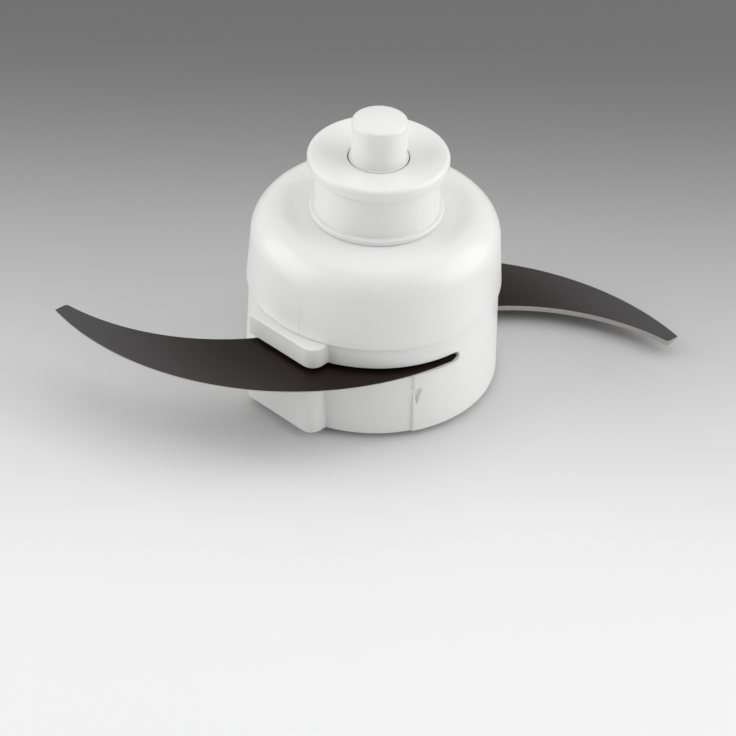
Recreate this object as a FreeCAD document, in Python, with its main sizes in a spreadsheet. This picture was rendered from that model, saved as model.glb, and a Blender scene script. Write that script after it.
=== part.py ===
"""Chopping-knife unit of a food processor, in millimetres.

A white moulded hub stands on its lower rim. Two sickle blades leave it half a turn apart, one high
and one low. A lift knob on top carries a sprung pin that turns freely and bears on the bowl's lid.
The origin is on the hub's axis at the rest plane, +Z is up, and the blade tips point along X.
"""
import FreeCAD
import Part
import math
import os

import Sketcher

DOC = FreeCAD.newDocument("chopping_knife")
SHEET = DOC.addObject("Spreadsheet::Sheet", "Sizes")
TINY = 1e-4


class Size:
    """A size that knows its value now and the sheet expression that gives it."""

    def __init__(self, value, text):
        self.value = value
        self.text = text

    def __add__(self, other):
        other = sized(other)
        return Size(self.value + other.value, f"({self.text} + {other.text})")

    def __sub__(self, other):
        other = sized(other)
        return Size(self.value - other.value, f"({self.text} - {other.text})")

    def __mul__(self, other):
        other = sized(other)
        return Size(self.value * other.value, f"({self.text} * {other.text})")

    def __truediv__(self, other):
        other = sized(other)
        return Size(self.value / other.value, f"({self.text} / {other.text})")

    def __neg__(self):
        return Size(-self.value, f"(0 - {self.text})")


def sized(value):
    """Wraps a plain number so that it can stand in an expression."""
    if isinstance(value, Size):
        return value
    return Size(float(value), repr(float(value)))


def root_of_squares(hypotenuse, leg):
    """The other leg of a right-angled triangle."""
    value = math.sqrt(hypotenuse.value ** 2 - leg.value ** 2)
    return Size(value, f"sqrt({hypotenuse.text} ^ 2 - {leg.text} ^ 2)")


def polar(radius, azimuth):
    """The x and y of a point at a radius and an azimuth in degrees."""
    angle = math.radians(azimuth.value)
    across = Size(radius.value * math.cos(angle), f"({radius.text} * cos({azimuth.text}))")
    along = Size(radius.value * math.sin(angle), f"({radius.text} * sin({azimuth.text}))")
    return across, along


DIMENSIONS = [
    # The hub's two mouldings
    ("hub_foot_radius", 30.0, "hub wall at the rest plane"),
    ("hub_draft", 0.75, "how far the base wall leans in at its top"),
    ("parting_height", 24.2, "joint between base and cap"),
    ("hub_wall", 2.4, "thickness of the base wall at its top"),
    ("cap_rim_inset", 0.1, "cap wall at its lower rim inside the hub's foot radius"),
    ("cap_draft", 1.4, "how far the cap wall leans in up to its crown"),
    ("cap_crown_height", 43.4, "top of the cap's shoulder"),
    ("cap_crown_dip", 0.5, "how far the crown falls towards the knob"),
    ("cap_shoulder_round", 7.2, "rounding between cap wall and crown"),
    ("cap_wall", 2.4, "cap wall and crown thickness"),
    ("spigot_wall", 1.6, "ring that centres the cap in the base"),
    ("spigot_depth", 3.0, "how far that ring reaches down"),
    ("spigot_gap", 0.1, "clearance round that ring"),
    # Blade bosses on the outside of the base
    ("boss_azimuth", 217.9, "outward direction of the upper blade's boss face"),
    ("boss_depth", 12.0, "how far a boss reaches into the wall from its face"),
    ("boss_reach", 2.0, "boss face beyond the hub's foot radius"),
    ("boss_left_half", 9.6, "boss width to the side of the blade's back"),
    ("boss_right_half", 11.6, "boss width to the side of the blade's edge"),
    ("boss_round", 3.0, "rounding of the boss corner on the edge side"),
    ("boss_corner", 0.9, "rounding of the boss corner on the back side"),
    # Blades
    ("blade_thickness", 1.4, "blade sheet"),
    ("upper_blade_height", 16.65, "underside of the upper blade"),
    ("lower_blade_height", 1.5, "underside of the lower blade"),
    ("tip_radius", 74.6, "hub axis to the blade tip"),
    ("edge_radius_share", 0.866, "radius of the ground edge's arc, of the tip radius"),
    ("edge_depth", 34.7, "how far the ground edge bows to the side"),
    ("back_radius_share", 0.74, "radius of the hollow back's arc, of the tip radius"),
    ("back_depth", 13.6, "how far the hollow back bows to the side"),
    ("back_middle_share", 0.4222, "hub axis to the middle of the back's arc, of the tip radius"),
    ("tip_side", 2.0, "tip's outer corner beside the hub axis"),
    ("tip_cut", 2.8, "length of the blunt tip along the blade"),
    ("tip_round", 0.9, "rounding of the tip's inner corner"),
    ("heel_gap", 1.2, "angle between the blade's heel and the slot's end"),
    ("heel_inset", 0.4, "blade's heel inside the hub's foot radius"),
    ("lower_blade_turn", 178.5, "angle from the upper blade to the lower blade"),
    ("edge_end", 14.3, "where the ground edge ends past the hub axis"),
    ("tang_inner_radius", 14.6, "hollow of the tang round the centre tube"),
    ("tang_end_azimuth", 300.0, "direction of the tang's inner end corner"),
    ("grind_width", 3.0, "ground bevel under the blade's edge"),
    ("edge_land", 0.3, "blade thickness left at the ground edge"),
    ("blade_screw_radius", 21.0, "hub axis to the blade screws"),
    ("first_screw_azimuth", 230.0, "first blade screw"),
    ("second_screw_azimuth", 272.0, "second blade screw"),
    ("blade_hole_gap", 0.25, "clearance of a blade hole round its screw"),
    # Slots for the blades
    ("slot_start", 198.0, "azimuth where the upper slot starts"),
    ("slot_end", 303.7, "azimuth where the upper slot ends"),
    ("slot_gap_below", 0.3, "slot under the blade"),
    ("slot_gap_above", 0.8, "slot over the blade"),
    # Inside the base
    ("web_thickness", 2.2, "web that carries the upper blade"),
    ("tube_bore_radius", 9.0, "centre tube, inside"),
    ("tube_wall", 2.0, "centre tube wall"),
    ("tube_foot", 0.4, "centre tube's foot over the rest plane"),
    ("tube_top", 26.8, "top of the centre tube's lid"),
    ("tube_lid", 1.8, "lid of the centre tube"),
    ("post_radius", 3.0, "screw posts"),
    ("relief_depth", 0.4, "sunk panel on the base wall"),
    ("relief_start", 240.7, "azimuth where the sunk panel starts"),
    ("relief_end", 280.0, "azimuth where the sunk panel ends"),
    ("relief_runout", 0.03, "depth that is left at the sunk panel's top"),
    ("relief_height", 16.0, "top of the sunk panel"),
    ("mark_azimuth", 281.9, "direction of the three-cornered mould mark beside the panel"),
    ("mark_height", 9.9, "middle of the mould mark"),
    ("mark_length", 4.0, "mould mark from its flat top to its lower corner"),
    ("mark_half_width", 1.1, "half of the mould mark's flat top"),
    ("mark_depth", 0.3, "mould mark"),
    # Cover under the base
    ("cover_recess", 0.2, "cover's underside over the rest plane"),
    ("cover_thickness", 1.1, "cover plate"),
    ("cover_gap", 0.2, "clearance round the cover and its centre hole"),
    ("cover_step", 0.5, "how far the cover's seat is wider than the cavity"),
    # Screws
    ("screw_radius", 1.25, "screw shank"),
    ("screw_head_radius", 2.1, "screw head"),
    ("screw_head_height", 1.5, "screw head"),
    ("screw_length", 7.0, "shank of a blade, cap or knob screw"),
    ("cover_screw_length", 7.5, "cover screw, from its head's flat"),
    ("countersink_height", 1.0, "cone of a cover screw's head"),
    ("pilot_gap", 0.03, "clearance of a pilot hole round its screw"),
    ("cap_screw_radius", 21.0, "hub axis to the cap screws"),
    ("knob_screw_gap", 2.3, "wall of the spring well to the middle of a knob screw"),
    # Lift knob
    ("collar_reach", 4.2, "middle of a knob screw to the rim of the knob's collar"),
    ("collar_height", 1.4, "collar at the knob's foot"),
    ("neck_reach", 3.0, "middle of a knob screw to the knob's neck"),
    ("flange_reach", 5.0, "middle of a knob screw to the rim of the knob's flange"),
    ("flange_height", 58.2, "top of the knob flange"),
    ("flange_thickness", 2.8, "flange edge"),
    ("flange_flare", 1.6, "height of the flare under the flange"),
    ("flange_round", 1.1, "rounding of the flange edge"),
    ("flange_dish", 1.0, "how far the flange's top falls to the pin"),
    ("pin_window_gap", 0.25, "open ring round the pin"),
    ("knob_lip", 2.6, "thickness of the knob over the bush"),
    # Turning pin on its spring
    ("pin_radius", 6.85, "pin where it runs in its bush"),
    ("pin_nose_step", 0.45, "pin above the knob, thinner than in its bush"),
    ("pin_rim_height", 66.2, "top rim of the pin"),
    ("pin_crown", 1.5, "height of the pin's low crown"),
    ("pin_edge", 0.5, "bevel at the pin's rim"),
    ("pin_running_gap", 0.05, "running clearance of the pin in its bush"),
    ("bush_wall", 1.6, "bush wall"),
    ("bush_length", 6.5, "bush"),
    ("clip_thickness", 1.1, "retaining clip under the bush"),
    ("clip_overlap", 1.2, "how far the clip stands out of the pin"),
    ("clip_depth", 0.9, "depth of the clip's groove in the pin"),
    ("clip_gap", 0.15, "clip below the bush, and round the clip in its groove"),
    ("ball_radius", 2.0, "thrust ball under the pin"),
    ("cup_thickness", 3.0, "spring cup's plate"),
    ("cup_skirt", 1.2, "rim of the spring cup round the spring"),
    ("cup_gap", 0.3, "clearance of the spring cup in its well"),
    ("well_gap", 0.35, "spring well round the pin's foot"),
    ("well_wall", 1.8, "wall and floor of the spring well"),
    ("well_depth", 12.0, "spring well under the knob's foot"),
    ("spring_radius", 4.6, "spring, to the middle of its wire"),
    ("spring_wire_radius", 0.5, "spring wire"),
    ("spring_turns", 4.5, "turns of the spring"),
    # Drive socket and spindle bush in the centre tube
    ("insert_gap", 0.05, "clearance of the inserts in the centre tube"),
    ("clip_seat", 1.0, "height of the lower clip over the tube's foot"),
    ("socket_length", 13.0, "drive socket"),
    ("socket_flats", 12.2, "across the flats of the drive socket"),
    ("spindle_radius", 4.0, "bore for the spindle's nose"),
    ("grip_ring_wire", 0.9, "half thickness of the grip ring"),
    ("seal_reach", 2.45, "middle of a knob screw to the middle of the seal ring's section"),
    ("seal_wire", 0.5, "half thickness of the seal ring"),
    ("seal_gap", 0.05, "room round the rings in their grooves"),
]

for row, (alias, value, note) in enumerate(DIMENSIONS, start=1):
    SHEET.set(f"A{row}", alias)
    SHEET.set(f"B{row}", repr(value))
    SHEET.set(f"C{row}", note)
    SHEET.setAlias(f"B{row}", alias)


class Dimensions:
    """The sheet's sizes by name."""


d = Dimensions()
for alias, value, note in DIMENSIONS:
    setattr(d, alias, Size(value, f"Sizes.{alias}"))
ZERO = sized(0)


def bind(thing, **sizes):
    """Ties properties of an object to sizes."""
    for name, size in sizes.items():
        thing.setExpression(name, sized(size).text)


def place(thing, x=ZERO, y=ZERO, z=ZERO, turn=ZERO, axis=(0, 0, 1)):
    """Ties an object's placement to sizes; turn is in degrees about axis."""
    x, y, z, turn = sized(x), sized(y), sized(z), sized(turn)
    spot = f"vector({x.text}; {y.text}; {z.text})"
    spin = f"rotation(vector({axis[0]}; {axis[1]}; {axis[2]}); {turn.text})"
    thing.setExpression("Placement", f"placement({spot}; {spin})")
    return thing


def cylinder(name, radius, height, x=ZERO, y=ZERO, z=ZERO, turn=ZERO, angle=None, axis=(0, 0, 1)):
    """A bound cylinder, or a sector of one."""
    thing = DOC.addObject("Part::Cylinder", name)
    bind(thing, Radius=radius, Height=height)
    if angle is not None:
        bind(thing, Angle=angle)
    return place(thing, x, y, z, turn, axis)


def joined(kind, name, things):
    """A fusion or compound of several objects."""
    thing = DOC.addObject(kind, name)
    if kind == "Part::Compound":
        thing.Links = things
    else:
        thing.Shapes = things
    return thing


def cut(name, base, tool):
    """One object with another taken out of it."""
    thing = DOC.addObject("Part::Cut", name)
    thing.Base = base
    thing.Tool = tool
    return thing


def origin_plane(body, role):
    """An origin plane of a body."""
    return [plane for plane in body.Origin.OriginFeatures if plane.Role == role][0]


def new_sketch(body, name, role):
    """A sketch on an origin plane of its own body."""
    sketch = body.newObject("Sketcher::SketchObject", name)
    sketch.AttachmentSupport = (origin_plane(body, role), [""])
    sketch.MapMode = "FlatFace"
    return sketch


def fix_point(sketch, geometry, vertex, x, y):
    """Ties a sketch point to sizes measured from the origin."""
    for kind, size, axis in (("DistanceX", x, -2), ("DistanceY", y, -1)):
        if abs(size.value) < TINY:
            sketch.addConstraint(Sketcher.Constraint("PointOnObject", geometry, vertex, axis))
            continue
        row = sketch.addConstraint(Sketcher.Constraint(kind, -1, 1, geometry, vertex, size.value))
        sketch.setExpression(f"Constraints[{row}]", size.text)


def polygon(sketch, corners):
    """A closed run of straight lines whose corners are tied to sizes."""
    corners = [(sized(x), sized(y)) for x, y in corners]
    count = len(corners)
    for index in range(count):
        start = corners[index]
        end = corners[(index + 1) % count]
        sketch.addGeometry(Part.LineSegment(FreeCAD.Vector(start[0].value, start[1].value, 0),
                                            FreeCAD.Vector(end[0].value, end[1].value, 0)))
    for index in range(count):
        sketch.addConstraint(Sketcher.Constraint("Coincident", index, 2, (index + 1) % count, 1))
    for index, (x, y) in enumerate(corners):
        fix_point(sketch, index, 1, x, y)


def turned(name, corners):
    """A body turned about the Z axis from a half section given as (radius, height) corners."""
    body = DOC.addObject("PartDesign::Body", name)
    sketch = new_sketch(body, name + "_section", "XZ_Plane")
    polygon(sketch, corners)
    turning = body.newObject("PartDesign::Revolution", name + "_turning")
    turning.Profile = sketch
    turning.ReferenceAxis = (sketch, ["V_Axis"])
    turning.Angle = 360
    body.Tip = turning
    return body


def round_rims(body, name, radius, rims):
    """Rounds the circular edges of a turned body that lie at the given radii and heights."""
    DOC.recompute()
    names = []
    for index, edge in enumerate(body.Tip.Shape.Edges, start=1):
        curve = edge.Curve
        if not isinstance(curve, Part.Circle):
            continue
        for rim_radius, rim_height in rims:
            if abs(curve.Radius - rim_radius.value) < TINY and abs(curve.Center.z - rim_height.value) < TINY:
                names.append(f"Edge{index}")
    if len(names) != len(rims):
        raise RuntimeError(f"{name}: found {len(names)} of {len(rims)} rims")
    sharp = body.Tip
    rounding = body.newObject("PartDesign::Fillet", name)
    rounding.Base = (sharp, names)
    bind(rounding, Radius=radius)
    body.Tip = rounding


PAN_HEAD = [
    (ZERO, -d.screw_head_height),
    (d.screw_head_radius, -d.screw_head_height),
    (d.screw_head_radius, ZERO),
    (d.screw_radius, ZERO),
    (d.screw_radius, d.screw_length),
    (ZERO, d.screw_length),
]
COUNTERSUNK_HEAD = [
    (ZERO, ZERO),
    (d.screw_head_radius, ZERO),
    (d.screw_radius, d.countersink_height),
    (d.screw_radius, d.cover_screw_length),
    (ZERO, d.cover_screw_length),
]


def screw_copies(name, section, spots, turn=ZERO):
    """A group of like screws; spots are (x, y, z) of each screw's zero height."""
    screws = []
    for index, (x, y, z) in enumerate(spots, start=1):
        screw = turned(f"{name}_{index}", section)
        screws.append(place(screw, x, y, z, turn, (1, 0, 0)))
    return joined("Part::Compound", name, screws)


def holes(name, radius, bottom, height, spots):
    """A group of upright cylinders used as a cutting tool or as posts."""
    tools = []
    for index, (x, y) in enumerate(spots, start=1):
        tools.append(cylinder(f"{name}_{index}", radius, height, x, y, bottom))
    return tools


# Places shared by several pieces
cap_rim_radius = d.hub_foot_radius - d.cap_rim_inset
boss_face_distance = d.hub_foot_radius + d.boss_reach
edge_radius = d.tip_radius * d.edge_radius_share
back_radius = d.tip_radius * d.back_radius_share
back_middle = d.tip_radius * d.back_middle_share
pin_window_radius = d.pin_radius + d.pin_window_gap
pin_nose_radius = d.pin_radius - d.pin_nose_step
well_radius = d.pin_radius + d.well_gap
knob_screw_radius = well_radius + d.well_wall + d.knob_screw_gap
collar_radius = knob_screw_radius + d.collar_reach
neck_radius = knob_screw_radius + d.neck_reach
flange_radius = knob_screw_radius + d.flange_reach
seal_radius = knob_screw_radius + d.seal_reach
half_turn = sized(180)
fusing_bite = sized(0.2)
web_top = d.upper_blade_height
web_bottom = web_top - d.web_thickness
base_top_radius = d.hub_foot_radius - d.hub_draft
cavity_radius = base_top_radius - d.hub_wall
cover_top = d.cover_recess + d.cover_thickness
tube_outer_radius = d.tube_bore_radius + d.tube_wall
upper_spots = [polar(d.blade_screw_radius, azimuth)
               for azimuth in (d.first_screw_azimuth, d.second_screw_azimuth)]
lower_spots = [polar(d.blade_screw_radius, azimuth + d.lower_blade_turn)
               for azimuth in (d.first_screw_azimuth, d.second_screw_azimuth)]
CAP_SCREW_AZIMUTHS = (-20, 71, 160)
cap_spots = [polar(d.cap_screw_radius, sized(azimuth)) for azimuth in CAP_SCREW_AZIMUTHS]
KNOB_SCREW_AZIMUTHS = (30, 150, 270)
knob_spots = [polar(knob_screw_radius, sized(azimuth)) for azimuth in KNOB_SCREW_AZIMUTHS]
knob_foot = d.cap_crown_height - d.cap_crown_dip
cap_roof = knob_foot - d.cap_wall
pilot_radius = d.screw_radius + d.pilot_gap


def radial(name, peg, z, azimuth):
    """Turns an upright peg about the hub so that it points outwards at a height and an azimuth."""
    lying = joined("Part::Compound", name + "_lying", [peg])
    place(lying, turn=sized(90), axis=(0, 1, 0))
    return place(joined("Part::Compound", name, [lying]), z=z, turn=azimuth)


def make_hub_base():
    """Lower moulding: tapered wall, two blade bosses, web, centre tube and screw posts."""
    wall = DOC.addObject("Part::Cone", "base_wall")
    bind(wall, Radius1=d.hub_foot_radius, Radius2=base_top_radius, Height=d.parting_height)
    outside = [wall]
    boss_width = d.boss_left_half + d.boss_right_half
    for name, azimuth in (("upper", d.boss_azimuth), ("lower", d.boss_azimuth - half_turn)):
        block = DOC.addObject("PartDesign::Body", f"{name}_boss")
        sketch = new_sketch(block, f"{name}_boss_plan", "XY_Plane")
        inner = boss_face_distance - d.boss_depth
        polygon(sketch, [
            (inner, -d.boss_left_half),
            (boss_face_distance, -d.boss_left_half),
            (boss_face_distance, d.boss_right_half),
            (inner, d.boss_right_half),
        ])
        pad = block.newObject("PartDesign::Pad", f"{name}_boss_height")
        pad.Profile = sketch
        bind(pad, Length=d.parting_height)
        block.Tip = pad
        DOC.recompute()
        for corner, side, radius in (("edge", d.boss_right_half, d.boss_round),
                                     ("back", -d.boss_left_half, d.boss_corner)):
            found = [f"Edge{index}" for index, edge in enumerate(block.Tip.Shape.Edges, start=1)
                     if all(abs(vertex.X - boss_face_distance.value) < TINY
                            and abs(vertex.Y - side.value) < TINY for vertex in edge.Vertexes)]
            sharp = block.Tip
            rounding = block.newObject("PartDesign::Fillet", f"{name}_boss_{corner}_corner")
            rounding.Base = (sharp, found)
            bind(rounding, Radius=radius)
            block.Tip = rounding
            DOC.recompute()
        outside.append(place(block, turn=azimuth))
    shell = joined("Part::MultiFuse", "base_outside", outside)

    above = cylinder("cavity_above_web", cavity_radius, d.parting_height - web_top, z=web_top)
    below = cylinder("cavity_below_web", cavity_radius, web_bottom)
    seat = cylinder("cover_seat", cavity_radius + d.cover_step, cover_top)
    tools = [above, below, seat]
    for name, blade_height, turn in (("upper", d.upper_blade_height, ZERO),
                                     ("lower", d.lower_blade_height, d.lower_blade_turn)):
        bottom = blade_height - d.slot_gap_below
        height = d.slot_gap_below + d.blade_thickness + d.slot_gap_above
        end_round = height / 2
        end_back = end_round / d.hub_foot_radius * (180 / math.pi)
        span = d.slot_end - d.slot_start - end_back
        reach = boss_face_distance + d.boss_depth
        sector = cylinder(f"{name}_slot_sector", reach, height, z=bottom, turn=d.slot_start + turn,
                          angle=span)
        core = cylinder(f"{name}_slot_core", cavity_radius, height, z=bottom)
        tools.append(cut(f"{name}_slot", sector, core))
        nose = cylinder(f"{name}_slot_peg", end_round, reach - cavity_radius, z=cavity_radius)
        tools.append(radial(f"{name}_slot_nose", nose, bottom + end_round, d.slot_end - end_back + turn))
    relief_span = d.relief_end - d.relief_start
    sunk = cylinder("sunk_panel_sector", boss_face_distance + d.boss_depth, d.relief_height,
                    turn=d.relief_start, angle=relief_span)
    kept = DOC.addObject("Part::Cone", "sunk_panel_core")
    relief_share = d.relief_height / d.parting_height
    bind(kept, Radius1=d.hub_foot_radius - d.relief_depth,
         Radius2=d.hub_foot_radius - d.hub_draft * relief_share - d.relief_runout, Height=d.relief_height)
    tools.append(cut("sunk_panel", sunk, kept))
    mark = DOC.addObject("PartDesign::Body", "mould_mark_peg")
    outline = new_sketch(mark, "mould_mark_outline", "XY_Plane")
    polygon(outline, [
        (d.mark_length / 2, ZERO),
        (-d.mark_length / 2, d.mark_half_width),
        (-d.mark_length / 2, -d.mark_half_width),
    ])
    pad = mark.newObject("PartDesign::Pad", "mould_mark_height")
    pad.Profile = outline
    bind(pad, Length=d.hub_foot_radius - cavity_radius)
    mark.Tip = pad
    place(mark, z=base_top_radius - d.mark_depth)
    tools.append(radial("mould_mark", mark, d.mark_height, d.mark_azimuth))
    opened = cut("base_opened", shell, joined("Part::MultiFuse", "base_cuts", tools))

    tube = cylinder("centre_tube", tube_outer_radius, d.tube_top - d.tube_foot, z=d.tube_foot)
    web = cylinder("web", cavity_radius + fusing_bite, d.web_thickness, z=web_bottom)
    posts = holes("tall_post", d.post_radius, cover_top, web_top - cover_top, upper_spots)
    under_posts = holes("short_post", d.post_radius, d.lower_blade_height + d.blade_thickness,
                        web_top - d.lower_blade_height - d.blade_thickness, lower_spots)
    inside = joined("Part::MultiFuse", "base_inside", [opened, tube, web] + posts + under_posts)

    bore = cylinder("tube_bore", d.tube_bore_radius, d.tube_top - d.tube_lid - d.tube_foot,
                    z=d.tube_foot)
    clip_groove = cylinder("clip_groove", d.tube_bore_radius + d.clip_depth,
                           d.clip_thickness + d.clip_gap, z=d.tube_foot + d.clip_seat)
    pilots = holes("blade_pilot", pilot_radius, web_top - d.screw_length, d.screw_length, upper_spots)
    cover_pilots = holes("cover_pilot", pilot_radius, ZERO, d.cover_recess + d.cover_screw_length,
                         upper_spots + lower_spots)
    cap_holes = holes("cap_screw_hole", d.screw_radius + d.blade_hole_gap, web_bottom,
                      d.web_thickness, cap_spots)
    drilled = joined("Part::MultiFuse", "base_holes",
                     [bore, clip_groove] + pilots + cover_pilots + cap_holes)
    return cut("hub_base", inside, drilled)


def make_base_cover():
    """Plate under the base, held by four screws, two of them through the lower blade."""
    plate = turned("cover_plate", [
        (tube_outer_radius + d.cover_gap, d.cover_recess),
        (cavity_radius + d.cover_step - d.cover_gap, d.cover_recess),
        (cavity_radius + d.cover_step - d.cover_gap, cover_top),
        (tube_outer_radius + d.cover_gap, cover_top),
    ])
    sinks = []
    for index, (x, y) in enumerate(upper_spots + lower_spots, start=1):
        sink = DOC.addObject("Part::Cone", f"cover_countersink_{index}")
        bind(sink, Radius1=d.screw_head_radius + d.blade_hole_gap,
             Radius2=d.screw_radius + d.blade_hole_gap, Height=d.cover_thickness)
        sinks.append(place(sink, x, y, d.cover_recess))
    return cut("base_cover", plate, joined("Part::MultiFuse", "cover_holes", sinks))


def make_hub_cap():
    """Upper moulding: leaning wall, rounded shoulder, dipped crown, spigot and spring well."""
    crown_radius = cap_rim_radius - d.cap_draft
    spigot_radius = cavity_radius - d.spigot_gap
    inner_wall = crown_radius - d.cap_wall
    well_floor = knob_foot - d.well_depth
    well_outer = well_radius + d.well_wall
    shelf = d.parting_height + d.spigot_wall
    shoulder_in = crown_radius - d.cap_shoulder_round
    cap = turned("cap_shell", [
        (cap_rim_radius, d.parting_height),
        (crown_radius, d.cap_crown_height),
        (shoulder_in, d.cap_crown_height),
        (collar_radius + d.cap_wall, knob_foot),
        (well_radius, knob_foot),
        (well_radius, well_floor),
        (ZERO, well_floor),
        (ZERO, well_floor - d.well_wall),
        (well_outer, well_floor - d.well_wall),
        (well_outer, cap_roof),
        (shoulder_in, cap_roof),
        (inner_wall, d.cap_crown_height - d.cap_shoulder_round),
        (inner_wall, shelf + d.cap_wall),
        (spigot_radius - d.spigot_wall, shelf),
        (spigot_radius - d.spigot_wall, d.parting_height - d.spigot_depth),
        (spigot_radius, d.parting_height - d.spigot_depth),
        (spigot_radius, d.parting_height),
    ])
    round_rims(cap, "cap_shoulder", d.cap_shoulder_round, [(crown_radius, d.cap_crown_height)])
    post_foot = web_top
    posts = holes("cap_post", d.post_radius, post_foot, cap_roof + d.cap_wall / 2 - post_foot, cap_spots)
    solid = joined("Part::MultiFuse", "cap_with_posts", [cap] + posts)
    pilots = holes("cap_pilot", pilot_radius, post_foot, d.screw_length, cap_spots)
    knob_holes = holes("knob_screw_hole", d.screw_radius + d.blade_hole_gap, cap_roof, d.cap_wall,
                       knob_spots)
    return cut("hub_cap", solid, joined("Part::MultiFuse", "cap_holes", pilots + knob_holes))


def make_lift_knob():
    """Knob screwed to the crown: collar, neck and dished flange round the turning pin."""
    bush_seat = d.pin_radius + d.pin_running_gap + d.bush_wall + d.insert_gap
    flange_low = d.flange_height - d.flange_thickness
    lip_top = d.flange_height - d.flange_dish
    groove_half = d.seal_wire + d.seal_gap
    knob = turned("knob_shell", [
        (collar_radius, knob_foot),
        (collar_radius, knob_foot + d.collar_height),
        (neck_radius, knob_foot + d.collar_height),
        (neck_radius, flange_low - d.flange_flare),
        (flange_radius, flange_low),
        (flange_radius, d.flange_height),
        (flange_radius - d.flange_thickness, d.flange_height),
        (pin_window_radius, lip_top),
        (pin_window_radius, lip_top - d.knob_lip),
        (bush_seat, lip_top - d.knob_lip),
        (bush_seat, knob_foot),
        (seal_radius - groove_half, knob_foot),
        (seal_radius - groove_half, knob_foot + groove_half * 2),
        (seal_radius + groove_half, knob_foot + groove_half * 2),
        (seal_radius + groove_half, knob_foot),
    ])
    round_rims(knob, "flange_edge", d.flange_round,
               [(flange_radius, flange_low), (flange_radius, d.flange_height)])
    pilots = holes("knob_pilot", pilot_radius, knob_foot, d.screw_length, knob_spots)
    return cut("lift_knob", knob, joined("Part::MultiFuse", "knob_pilots", pilots))


def make_ring(name, radius, wire, height):
    """A round-section ring about the hub axis."""
    ring = DOC.addObject("Part::Torus", name)
    bind(ring, Radius1=radius, Radius2=wire)
    return place(ring, z=height)


CROWN_SHARE = 0.85  # of the crown's height, reached halfway from the pin's axis to its side


def make_pin_parts():
    """Turning pin, its bush, clip, thrust ball, spring cup and spring."""
    nose_foot = d.flange_height - d.flange_dish
    bush_top = nose_foot - d.knob_lip
    bush_bottom = bush_top - d.bush_length
    bush_bore = d.pin_radius + d.pin_running_gap
    turned("pin_bush", [
        (bush_bore, bush_bottom),
        (bush_bore + d.bush_wall, bush_bottom),
        (bush_bore + d.bush_wall, bush_top),
        (bush_bore, bush_top),
    ])
    clip_top = bush_bottom - d.clip_gap
    clip_bottom = clip_top - d.clip_thickness
    groove_floor = d.pin_radius - d.clip_depth
    pin_foot = knob_foot + d.clip_gap
    pocket_radius = d.ball_radius + d.pilot_gap
    turned("thrust_pin", [
        (pocket_radius, pin_foot),
        (d.pin_radius, pin_foot),
        (d.pin_radius, clip_bottom - d.clip_gap),
        (groove_floor, clip_bottom - d.clip_gap),
        (groove_floor, clip_top),
        (d.pin_radius, clip_top),
        (d.pin_radius, nose_foot),
        (pin_nose_radius, nose_foot),
        (pin_nose_radius, d.pin_rim_height),
        (pin_nose_radius - d.pin_edge, d.pin_rim_height + d.pin_edge),
        (pin_nose_radius / 2, d.pin_rim_height + d.pin_crown * CROWN_SHARE),
        (ZERO, d.pin_rim_height + d.pin_crown),
        (ZERO, pin_foot + d.ball_radius),
        (pocket_radius, pin_foot + d.ball_radius),
    ])
    turned("pin_clip", [
        (groove_floor, clip_bottom),
        (d.pin_radius + d.clip_overlap, clip_bottom),
        (d.pin_radius + d.clip_overlap, clip_top),
        (groove_floor, clip_top),
    ])
    cup_top = pin_foot - d.clip_gap
    cup_bottom = cup_top - d.cup_thickness
    ball_middle = pin_foot
    ball = DOC.addObject("Part::Sphere", "thrust_ball")
    bind(ball, Radius=d.ball_radius)
    place(ball, z=ball_middle)
    cup_radius = well_radius - d.cup_gap
    spring_outside = d.spring_radius + d.spring_wire_radius
    turned("spring_cup", [
        (pocket_radius, cup_top),
        (cup_radius, cup_top),
        (cup_radius, cup_bottom - d.cup_skirt),
        (spring_outside + d.cup_gap, cup_bottom - d.cup_skirt),
        (spring_outside + d.cup_gap, cup_bottom),
        (ZERO, cup_bottom),
        (ZERO, ball_middle - d.ball_radius),
        (pocket_radius, ball_middle - d.ball_radius),
    ])
    well_floor = knob_foot - d.well_depth
    room = cup_bottom - well_floor
    rise = room - d.spring_wire_radius * 2 - d.clip_gap
    spiral = DOC.addObject("Part::Helix", "spring_line")
    bind(spiral, Radius=d.spring_radius, Height=rise, Pitch=rise / d.spring_turns)
    place(spiral, z=well_floor + d.spring_wire_radius + d.clip_gap / 2)
    wire = DOC.addObject("Part::Circle", "spring_wire_section")
    bind(wire, Radius=d.spring_wire_radius)
    place(wire, x=d.spring_radius, z=well_floor + d.spring_wire_radius + d.clip_gap / 2,
          turn=sized(90), axis=(1, 0, 0))
    spring = DOC.addObject("Part::Sweep", "pin_spring")
    spring.Sections = [wire]
    spring.Spine = spiral
    spring.Solid = True
    spring.Frenet = True


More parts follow.
